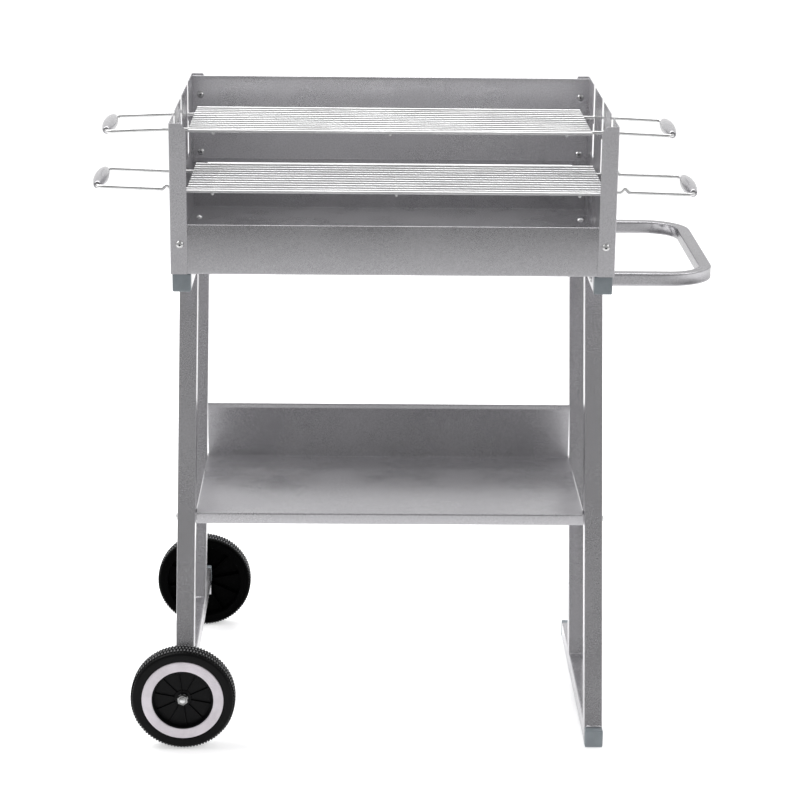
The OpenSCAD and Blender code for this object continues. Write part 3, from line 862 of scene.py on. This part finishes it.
def hexagon(af, height, bore):
    """A nut on z = 0 with chamfered corners at both ends, countersunk on the side of its seat."""
    bm = bmesh.new()
    across = af / math.sqrt(3)
    steps = 6
    chamfer = 0.3 * (across - af / 2) * 2
    face_r = af / 2 * 0.97

    def ring(kind, z):
        verts = []
        for k in range(6 * steps):
            angle = math.radians(60 * k / steps)
            local = angle % (math.pi / 3) - math.pi / 6
            hexed = af / 2 / math.cos(local)
            radius = {"hex": hexed, "face": face_r, "bore": bore}[kind]
            drop = (hexed - face_r) * 0.5 if kind == "hex" else 0.0
            level = z + (drop if z < height / 2 else -drop)
            verts.append(bm.verts.new((radius * math.cos(angle), radius * math.sin(angle), level)))
        return verts

    loop = [ring("bore", chamfer), ring("face", 0), ring("hex", 0.05),
            ring("hex", height - 0.05), ring("face", height), ring("bore", height)]
    for lower, upper in zip(loop, loop[1:] + loop[:1]):
        bridge(bm, lower, upper)
    return bm


def nuts(node, places, af, height, bore, material=ZINC):
    """Hexagon nuts: places are (seat, direction away from it)."""
    bm = bmesh.new()
    rng = random.Random(len(node) + 7)
    for origin, direction in places:
        join(bm, hexagon(af, height, bore), axis_matrix(origin, direction, rng.uniform(0, 60)))
    obj = finish_mesh(bm, node + "_hex", [material], sharp=30)
    return mount(obj, node)


POST_X = 287
POST_Z = 694
BACK_Z = (826, 739)
FRAME_X = 285.5
BACK_Y = 450
BACK = Vector((0, 1, 0))
DOWN = Vector((0, 0, -1))
SIDES = (-1, 1)
TRAY_BOLTS_Y = (80, 370)
TOP_BAR_Z = 628

post_places = [((side * POST_X, 0, POST_Z), BACK) for side in SIDES]
screws("post_screws", post_places, SCREW_R, POST_SCREW_LEN)
post_nuts = [((side * POST_X, 2 * SHEET, POST_Z), BACK) for side in SIDES]
nuts("post_nuts", post_nuts, SMALL_NUT_AF, SMALL_NUT_H, SCREW_R)
back_places = [((side * POST_X, BACK_Y - 2 * SHEET, z), BACK) for side in SIDES for z in BACK_Z]
screws("back_panel_screws", back_places, SCREW_R, 2 * SHEET + BACK_SCREW_OUT)
back_nuts = [((side * POST_X, BACK_Y, z), BACK) for side in SIDES for z in BACK_Z]
nuts("back_panel_nuts", back_nuts, SMALL_NUT_AF, SMALL_NUT_H, SCREW_R)
tray_places = [((side * FRAME_X, y, BOX_Z + SHEET), DOWN) for side in SIDES for y in TRAY_BOLTS_Y]
screws("tray_bolts", tray_places, SCREW_R, SHEET + TUBE + BOLT_OUT)
tray_nuts = [((side * FRAME_X, y, TOP_BAR_Z), DOWN) for side in SIDES for y in TRAY_BOLTS_Y]
nuts("tray_nuts", tray_nuts, SMALL_NUT_AF, TALL_NUT_H, SCREW_R)

SHELF_BOLT_Z = 296


def leg_middle_y(rear):
    """Where a leg's middle line is at the shelf bolts' height."""
    node = "rear_right_leg" if rear else "front_right_leg"
    lo, hi = span(node)
    depth = TUBE / math.cos(math.radians(SLANT))
    return lo.y + depth / 2 + (SHELF_BOLT_Z - lo.z) * math.tan(math.radians(SLANT))


shelf_places = []
shelf_nut_places = []
for side in SIDES:
    for rear in (False, True):
        y = leg_middle_y(rear)
        inward = Vector((-side, 0, 0))
        shelf_places.append(((side * (FRAME_X + TUBE / 2), y, SHELF_BOLT_Z), inward))
        shelf_nut_places.append(((side * (FRAME_X - TUBE / 2 - SHEET), y, SHELF_BOLT_Z), inward))
screws("shelf_bolts", shelf_places, SCREW_R, TUBE + SHEET + BOLT_OUT)
nuts("shelf_nuts", shelf_nut_places, SMALL_NUT_AF, TALL_NUT_H, SCREW_R)

PUSH_Z = (push_lo.z + push_hi.z) / 2
PUSH_ARMS_Y = (push_lo.y + PUSH_TUBE / 2, push_hi.y - PUSH_TUBE / 2)
push_places = [((FRAME_X - TUBE / 2, y, PUSH_Z), Vector((1, 0, 0))) for y in PUSH_ARMS_Y]
screws("push_handle_bolts", push_places, SCREW_R, TUBE + PUSH_BOLT_OUT)

# ---------------------------------------------------------------- wheels

WHEEL_R = 72.5
WHEEL_W = 30
RING_RO = 56.5
RING_RI = 42.5
DISH = 9
WEB = 6
HUB_R = 12
HUB_FACE = 8
BORE_R = 4.05
RING_T = 1.6
TREAD_COLUMNS = 100
TREAD_ROWS = 3
TREAD_DEPTH = 1.8
SHOULDER = 4.0
TREAD_CROWN = 0.5
WALL_R = 66.0
RIBS = 10
RIB_PHASE = 11
TREAD_SLOT = 1
PAINTED_SHADE_SLOT = 2


def tread(bm_into):
    """The tyre's running face: staggered rows of small raised blocks between grooves."""
    bm = bmesh.new()
    # One column, in parts of its pitch: a groove, then a block
    lift = ((0.0, 0), (0.42, 0), (0.48, 1), (0.96, 1))
    columns = [(c + part, up) for c in range(TREAD_COLUMNS) for part, up in lift]
    w0 = SHOULDER
    w1 = WHEEL_W - SHOULDER
    step = (w1 - w0) / (TREAD_ROWS - 0.34)
    rows = [(w0 - 0.3, 0, 0.0)]
    for r in range(TREAD_ROWS):
        base = w0 + r * step
        shift = 0.5 * (r % 2)
        rows += [(base, 1, shift), (base + step * 0.66, 1, shift)]
        if r < TREAD_ROWS - 1:
            rows += [(base + step * 0.72, 0, shift), (base + step * 0.95, 0, 0.5 - shift)]
    rows += [(w1 + 0.3, 0, shift)]
    grid = []
    for w, row_up, shift in rows:
        ring = []
        for c, col_up in columns:
            angle = 2 * math.pi * (c + shift) / TREAD_COLUMNS
            crown = TREAD_CROWN * min(((w - WHEEL_W / 2) / (WHEEL_W / 2 - SHOULDER)) ** 2, 1)
            radius = WHEEL_R - crown - (0 if row_up and col_up else TREAD_DEPTH)
            ring.append(bm.verts.new((radius * math.cos(angle), radius * math.sin(angle), w)))
        grid.append(ring)
    for lower, upper in zip(grid, grid[1:]):
        for face in bridge(bm, lower, upper):
            reach = min(math.hypot(vert.co.x, vert.co.y) for vert in face.verts)
            face.material_index = TREAD_SLOT if reach > WHEEL_R - 0.6 else 0
    join(bm_into, bm)
    return len(columns)


def wheel_body():
    """The wheel about +Z with its outer face at 0: tyre walls, dish, web, hub and ribs."""
    bm = bmesh.new()
    segments = tread(bm)
    edge_r = WHEEL_R - TREAD_DEPTH - 0.5
    outer = [(edge_r, SHOULDER)]
    outer += arc(edge_r - SHOULDER, SHOULDER, SHOULDER, 0, -90, 6)[1:]
    outer += [(WALL_R, 0.15), (RING_RO + 1.2, 0.15), (RING_RO + 0.4, 0.5), (RING_RO + 0.3, RING_T)]
    outer += [(RING_RI - 0.2, RING_T), (RING_RI - 0.4, 0.7)]
    outer += [(RING_RI - 1.0, 0.35), (RING_RI - 1.9, 0.6)]
    outer += [(RING_RI - 2.4, 1.6), (RING_RI - 3.0, DISH - 1.2), (RING_RI - 4.4, DISH)]
    outer += [(HUB_R + 0.6, DISH), (HUB_R, HUB_FACE + 0.4), (HUB_R - 0.4, HUB_FACE)]
    outer += [(BORE_R + 0.5, HUB_FACE), (BORE_R, HUB_FACE + 0.5)]
    inner = [(BORE_R, WHEEL_W - 0.5), (BORE_R + 0.5, WHEEL_W)]
    inner += [(HUB_R - 0.8, WHEEL_W), (HUB_R, WHEEL_W - 0.8)]
    inner += [(HUB_R + 0.6, DISH + WEB + 1.2), (HUB_R + 2, DISH + WEB), (RING_RO - 3, DISH + WEB)]
    inner += [(RING_RO - 1, DISH + WEB + 1), (RING_RO, WHEEL_W - 1.0), (RING_RO + 0.8, WHEEL_W - 0.1)]
    inner += [(WALL_R, WHEEL_W - 0.15)]
    inner += arc(edge_r - SHOULDER, WHEEL_W - SHOULDER, SHOULDER, 90, 0, 6)
    join(bm, lathe(outer + inner, segments))
    # Painted shade: faces on the inner tyre wall and the inner dish take the near-black copy of the
    # wheel plastic
    for face in bm.faces:
        middle = face.calc_center_median()
        shaded_inner_wall = middle.z > WHEEL_W - SHOULDER + 0.3
        shaded_inner_dish = middle.z > DISH + WEB - 0.1 and middle.xy.length < RING_RO + 1
        if shaded_inner_wall or shaded_inner_dish:
            face.material_index = PAINTED_SHADE_SLOT
    for k in range(RIBS):
        turn = Matrix.Rotation(math.radians(RIB_PHASE + 360 * k / RIBS), 4, "Z")
        join(bm, rib(HUB_R - 0.5, RING_RI - 2.6, DISH - 2.6, DISH + 0.5, 0.75), turn)
        # The inner ribs take the same painted shade
        inside = rib(HUB_R - 0.5, RING_RO - 0.6, WHEEL_W - 8, DISH + WEB - 0.5, 0.9, PAINTED_SHADE_SLOT)
        join(bm, inside, turn)
    return bm


def rib(r0, r1, w_top, w_foot, thin, material=0):
    """A radial rib with a tapered section and a rounded crest."""
    bm = bmesh.new()
    sign = 1 if w_foot > w_top else -1
    section = [(-thin, w_foot), (-thin * 0.62, w_top + sign * 0.5), (-thin * 0.3, w_top),
               (thin * 0.3, w_top), (thin * 0.62, w_top + sign * 0.5), (thin, w_foot)]
    rings = []
    for r in (r0, r0 + 3, r1 - 3, r1):
        rings.append([bm.verts.new((r, a, w)) for a, w in section])
    for lower, upper in zip(rings, rings[1:]):
        bridge(bm, lower, upper)
    bm.faces.new(rings[0])
    bm.faces.new(rings[-1][::-1])
    for face in bm.faces:
        face.material_index = material
    return bm


def wheel_ring():
    """The pale trim ring: a slightly crowned flat ring with rounded edges."""
    front = [(RING_RI, 0.9), (RING_RI + 0.25, 0.35), (RING_RI + 0.9, 0.1)]
    crown = [(RING_RI + 4, -0.02), ((RING_RI + RING_RO) / 2, -0.06), (RING_RO - 4, -0.02)]
    edge = [(RING_RO - 0.9, 0.1), (RING_RO - 0.25, 0.35), (RING_RO, 0.9), (RING_RO, RING_T)]
    loop = front + crown + edge + [(RING_RI, RING_T), front[0]]
    return lathe(loop, 128)


AXLE_Z = WHEEL_R
for which, facing in (("front", 1), ("rear", -1)):
    wheel_lo, wheel_hi = span(which + "_wheel")
    outer_y = wheel_lo.y if facing > 0 else wheel_hi.y
    turn = axis_matrix((-FRAME_X, outer_y, AXLE_Z), (0, facing, 0))
    bm = bmesh.new()
    join(bm, wheel_body(), turn)
    obj = finish_mesh(bm, which + "_wheel_moulded", [BLACK, TREAD, WHEEL_PAINTED_SHADE], sharp=35)
    mount(obj, which + "_wheel", which + "_wheel")
    bm = bmesh.new()
    join(bm, wheel_ring(), turn)
    obj = finish_mesh(bm, which + "_wheel_trim", [RING], sharp=50)
    mount(obj, which + "_wheel_ring", which + "_wheel")

# The axle with threaded ends, and its nuts
axle_lo, axle_hi = span("axle")
nuts_lo, nuts_hi = span("axle_nuts")
NUT_H = 6.5
NUT_AF = 13
AXLE_R = 4
THREAD_PITCH = 1.0
THREAD_TURNS = 16
THREAD_START = 0.9
THREAD_ROOT = AXLE_R - 0.45


def axle():
    """A round rod with a chamfer and a thread at both ends."""
    length = axle_hi.y - axle_lo.y
    far = length - THREAD_START
    profile = [(0.0, 0.0), (AXLE_R - 1.0, 0.0), (AXLE_R - 0.3, 0.7)]
    for k in range(THREAD_TURNS):
        profile += [(THREAD_ROOT, THREAD_START + k * THREAD_PITCH),
                    (AXLE_R, THREAD_START + (k + 0.5) * THREAD_PITCH)]
    profile += [(AXLE_R, far - THREAD_TURNS * THREAD_PITCH)]
    for k in reversed(range(THREAD_TURNS)):
        profile += [(AXLE_R, far - (k + 0.5) * THREAD_PITCH), (THREAD_ROOT, far - k * THREAD_PITCH)]
    profile += [(AXLE_R - 0.3, length - 0.7), (AXLE_R - 1.0, length), (0.0, length)]
    bm = bmesh.new()
    join(bm, lathe(profile, 32), axis_matrix((-FRAME_X, axle_lo.y, AXLE_Z), (0, 1, 0)))
    obj = finish_mesh(bm, "axle_rod", [ZINC], sharp=50)
    return mount(obj, "axle")


axle()
axle_nut_places = [((-FRAME_X, y, AXLE_Z), BACK) for y in (nuts_lo.y, nuts_hi.y - NUT_H)]
nuts("axle_nuts", axle_nut_places, NUT_AF, NUT_H, AXLE_R, NUT_PLATE)

# ---------------------------------------------------------------- grates

BAR_R = 1.5
EDGE_BAR_R = 2.2
CROSS_R = 2.0
WIRE_R = 2.5
BAR_COUNT = 13
BAR_PITCH = 16.5
BAR_RISE = 4.05
CROSS_DROP = 3.3
CROSS_X = 250
WIRE_START = 254
WIRE_BEND = 9
HUMP_INSET = 106
HUMP_LEN = 14
HUMP_H = 5
# How far each grip sits above its seats
RISES = {"lower_left": 3, "lower_right": -2.5, "upper_left": -4, "upper_right": -4}
GRIP_R = 10
GRIP_END_R = 5
GRIP_LEN = 112
GRIP_STEPS = 28
GRIP_LIP = 0.9
GRIP_EDGE = 0.8
GRIP_BORE_R = WIRE_R + 0.1
BEAD_PROFILE = [(0.0, -1.0), (1.5, -0.9), (2.3, -0.2), (2.3, 0.3), (1.3, 1.0), (0.0, 1.1)]


def rod(a, b, radius, sides=16):
    """A straight round rod with a small chamfer at both ends."""
    length = (Vector(b) - Vector(a)).length
    edge = radius * 0.25
    profile = [(0.0, 0.0), (radius - edge, 0.0), (radius, edge), (radius, length - edge),
               (radius - edge, length), (0.0, length)]
    bm = bmesh.new()
    join(bm, lathe(profile, sides), axis_matrix(a, Vector(b) - Vector(a)))
    return bm


def grid(body, centre, half_len):
    """Bars along X over cross rods along Y, with a flattened weld at every crossing."""
    bm = bmesh.new()
    reach = BAR_PITCH * (BAR_COUNT - 1) / 2
    z = centre.z + BAR_RISE
    for i in range(BAR_COUNT):
        y = centre.y + i * BAR_PITCH - reach
        radius = EDGE_BAR_R if i in (0, BAR_COUNT - 1) else BAR_R
        join(bm, rod((centre.x - half_len, y, z), (centre.x + half_len, y, z), radius))
    for x in (-CROSS_X, 0, CROSS_X):
        a = (centre.x + x, centre.y - reach - 1, z - CROSS_DROP)
        b = (centre.x + x, centre.y + reach + 1, z - CROSS_DROP)
        join(bm, rod(a, b, CROSS_R))
        for i in range(BAR_COUNT):
            y = centre.y + i * BAR_PITCH - reach
            bead = lathe(BEAD_PROFILE, 12)
            join(bm, bead, Matrix.Translation((centre.x + x, y, z - CROSS_DROP / 2 - 0.6)))
    obj = finish_mesh(bm, body + "_wires", [CHROME], sharp=40)
    return mount(obj, body, body)


def handle_path(centre, side, reach, rise):
    """Middle line of a handle wire: an arm with a stop hump, a bend, the grip run, and back."""
    half = []
    y = -SLOT_PITCH / 2
    x_grip = reach - GRIP_R
    hump_x = reach - HUMP_INSET
    x_hump = hump_x + HUMP_LEN / 2
    half.append((WIRE_START, y, 0))
    for k in range(17):
        part = k / 16
        lift = HUMP_H * (1 - math.cos(2 * math.pi * part)) / 2
        half.append((hump_x + HUMP_LEN * (part - 0.5), y, lift))
    x_bend = reach - GRIP_R - WIRE_BEND
    for k in range(11):
        turn = math.radians(90 * k / 10)
        x = x_bend + WIRE_BEND * math.sin(turn)
        lift = rise * (x - x_hump) / (x_grip - x_hump)
        half.append((x, y + WIRE_BEND * (1 - math.cos(turn)), lift))
    whole = half + [(x, -y1, z) for x, y1, z in reversed(half)]
    return [Vector((centre.x + side * x, centre.y + y2, centre.z + z)) for x, y2, z in whole]


def handle(name, body, centre, side, reach):
    """A grate's handle wire, and the spindle grip on its outer run."""
    rise = RISES[name]
    path = handle_path(centre, side, reach, rise)
    bm = sweep(path, round_outline(WIRE_R, 16), UP)
    obj = finish_mesh(bm, name + "_handle_wire", [HANDLE_WIRE], sharp=60)
    mount(obj, name + "_handle", body)
    profile = []
    curve = ((GRIP_LEN / 2) ** 2 + (GRIP_R - GRIP_END_R) ** 2) / (2 * (GRIP_R - GRIP_END_R))
    for k in range(GRIP_STEPS + 1):
        along = GRIP_LEN * (k / GRIP_STEPS - 0.5)
        radius = GRIP_R - curve + math.sqrt(curve * curve - along * along)
        profile.append((radius, along))
    ends = [(GRIP_BORE_R, -GRIP_LEN / 2), (GRIP_END_R - GRIP_LIP, -GRIP_LEN / 2)]
    tips = [(GRIP_END_R - GRIP_LIP, GRIP_LEN / 2), (GRIP_BORE_R, GRIP_LEN / 2)]
    profile[0] = (profile[0][0], -GRIP_LEN / 2 + GRIP_EDGE)
    profile[-1] = (profile[-1][0], GRIP_LEN / 2 - GRIP_EDGE)
    loop = ends + profile + tips
    loop.append(loop[0])
    bm = bmesh.new()
    axis_x = centre.x + side * (reach - GRIP_R)
    join(bm, lathe(loop, 40), axis_matrix((axis_x, centre.y, centre.z + rise), (0, 1, 0)))
    obj = finish_mesh(bm, name + "_grip_spindle", [GRIP], sharp=50)
    mount(obj, name + "_grip", body)


for level in ("lower", "upper"):
    body = level + "_grate"
    grate_lo, grate_hi = span(body)
    middle_x = (grate_lo.x + grate_hi.x) / 2
    middle_y = (grate_lo.y + grate_hi.y) / 2
    centre = Vector((middle_x, middle_y, grate_hi.z - EDGE_BAR_R - BAR_RISE))
    grid(body, centre, (grate_hi.x - grate_lo.x) / 2)
    reach = span(level + "_right_grip")[1].x - middle_x
    for side, word in ((-1, "left"), (1, "right")):
        handle(f"{level}_{word}", body, centre, side, reach)

# ---------------------------------------------------------------- kept CAD nodes

KEPT = {
    "push_handle_inserts": ZINC,
    "axle_brackets": PAINT_TUBE,
    "axle_spacers": ZINC,
    "axle_washers": ZINC,
}
for node, material in KEPT.items():
    obj = frame["nodes"][node]
    obj.data.materials.clear()
    obj.data.materials.append(material)
    merge = obj.modifiers.new("flat_faces", "DECIMATE")
    merge.decimate_type = "DISSOLVE"
    merge.angle_limit = math.radians(1)
    soften(obj, EDGE_SOFT)

# ---------------------------------------------------------------- floor, light and camera

# The floor's glow, by Y in metres
GLOW_FRONT = -1.6
GLOW_BACK = -0.15
GLOW_LOW = 0.02
GLOW_HIGH = 0.50
FLOOR_SIZE = 40.0
FLOOR_GAP = 0.0004
# The studio's light by direction: SKY by Y from front to back, FILL and OVERHEAD by Z
SKY_FRONT = -0.65
SKY_BACK = 0.70
FILL_FROM = 0.02
FILL_TO = 0.45
FILL_LOW = 0.20
FILL_HIGH = 0.46
OVERHEAD_FROM = 0.45
OVERHEAD_TO = 0.95
OVERHEAD_DIM = 0.72
# The camera that was fitted to the photo: millimetres in the fire box's frame, and radians
LENS = 108
CAMERA_AT = (-42.2, -3159.9, 1397.5)
CAMERA_PITCH = -0.283
CAMERA_YAW = 0.017
CAMERA_ROLL = 0.011


def ramp(tree, value, start, end, low, high):
    """A smooth step of value, from low at start to high at end."""
    node = tree.nodes.new("ShaderNodeMapRange")
    node.interpolation_type = "SMOOTHSTEP"
    for key, setting in (("From Min", start), ("From Max", end), ("To Min", low), ("To Max", high)):
        node.inputs[key].default_value = setting
    tree.links.new(value, node.inputs["Value"])
    return node


def floor():
    """The studio floor: pale, with a glow that grows towards the back, as a light sweep has."""
    g = Graph("studio_floor", Roughness=0.7, Specular_IOR_Level=0.2)
    speck = g.noise(3.0, 3.0, 0.5)
    white = (0.90, 0.90, 0.90, 1)
    soft = (0.875, 0.875, 0.88, 1)
    colour = g.blend(g.level(speck, 0.35, 0.65, 0, 1), soft, white)
    g.shader.inputs["Emission Color"].default_value = (1, 1, 1, 1)
    split = g.add("ShaderNodeSeparateXYZ", {"Vector": g.place})
    glow = ramp(g.tree, split.outputs["Y"], GLOW_FRONT, GLOW_BACK, GLOW_LOW, GLOW_HIGH)
    material = g.use(Base_Color=colour, Emission_Strength=glow.outputs["Result"])
    corners = [(x * FLOOR_SIZE, y * FLOOR_SIZE, 0) for x, y in ((-1, -1), (1, -1), (1, 1), (-1, 1))]
    mesh = bpy.data.meshes.new("studio_floor")
    mesh.from_pydata(corners, [], [(0, 1, 2, 3)])
    mesh.materials.append(material)
    obj = bpy.data.objects.new("studio_floor", mesh)
    obj.location.z = cad_lo.z - FLOOR_GAP
    bpy.context.scene.collection.objects.link(obj)


def world():
    """White studio: bright behind the grill, dimmer straight overhead and on the camera's side."""
    scene_world = bpy.data.worlds.new("studio")
    bpy.context.scene.world = scene_world
    scene_world.use_nodes = True
    tree = scene_world.node_tree
    sky = tree.nodes["Background"]
    coord = tree.nodes.new("ShaderNodeTexCoord")
    split = tree.nodes.new("ShaderNodeSeparateXYZ")
    tree.links.new(coord.outputs["Generated"], split.inputs[0])
    fill = ramp(tree, split.outputs["Z"], FILL_FROM, FILL_TO, FILL_LOW, FILL_HIGH)
    spread = ramp(tree, split.outputs["Y"], SKY_FRONT, SKY_BACK, 0.0, 1.0)
    tree.links.new(fill.outputs["Result"], spread.inputs["To Min"])
    overhead = ramp(tree, split.outputs["Z"], OVERHEAD_FROM, OVERHEAD_TO, 1.0, OVERHEAD_DIM)
    dimmed = tree.nodes.new("ShaderNodeMath")
    dimmed.operation = "MULTIPLY"
    tree.links.new(spread.outputs["Result"], dimmed.inputs[0])
    tree.links.new(overhead.outputs["Result"], dimmed.inputs[1])
    tree.links.new(dimmed.outputs["Value"], sky.inputs["Strength"])
    sky.inputs["Color"].default_value = (1, 1, 1, 1)


def soft_box(name, where, size, power, aim):
    """A rectangular area light at a place, turned towards aim, in metres and watts."""
    light = bpy.data.lights.new(name, "AREA")
    light.shape = "RECTANGLE"
    light.size = size[0]
    light.size_y = size[1]
    light.energy = power
    obj = bpy.data.objects.new(name, light)
    obj.location = where
    obj.rotation_euler = (Vector(aim) - Vector(where)).to_track_quat("-Z", "Y").to_euler()
    bpy.context.scene.collection.objects.link(obj)


def camera():
    """The view of the photo."""
    data = bpy.data.cameras.new("photo_view")
    data.sensor_width = 36
    data.lens = LENS
    obj = bpy.data.objects.new("photo_view", data)
    level = math.cos(CAMERA_PITCH)
    ahead = Vector((
        math.sin(CAMERA_YAW) * level, math.cos(CAMERA_YAW) * level, math.sin(CAMERA_PITCH),
    ))
    right = Vector((math.cos(CAMERA_YAW), -math.sin(CAMERA_YAW), 0))
    over = right.cross(ahead)
    tilted = math.cos(CAMERA_ROLL) * right + math.sin(CAMERA_ROLL) * over
    above = -math.sin(CAMERA_ROLL) * right + math.cos(CAMERA_ROLL) * over
    rows = Matrix((tilted, above, -ahead)).transposed().to_4x4()
    obj.matrix_world = Matrix.Translation(place(*CAMERA_AT)) @ rows
    bpy.context.scene.collection.objects.link(obj)
    bpy.context.scene.camera = obj


floor()
world()
soft_box("key", where=(-1.7, 0.2, 2.5), size=(1.4, 1.4), power=38, aim=(0, 0.1, 0.7))
soft_box("top", where=(0.2, 1.2, 3.2), size=(3.0, 2.0), power=62, aim=(0, 0.1, 0.5))
soft_box("side", where=(2.2, -0.7, 2.3), size=(1.2, 1.2), power=12, aim=(-0.15, 0.2, 0.75))
camera()
bpy.context.scene.view_settings.view_transform = "Standard"
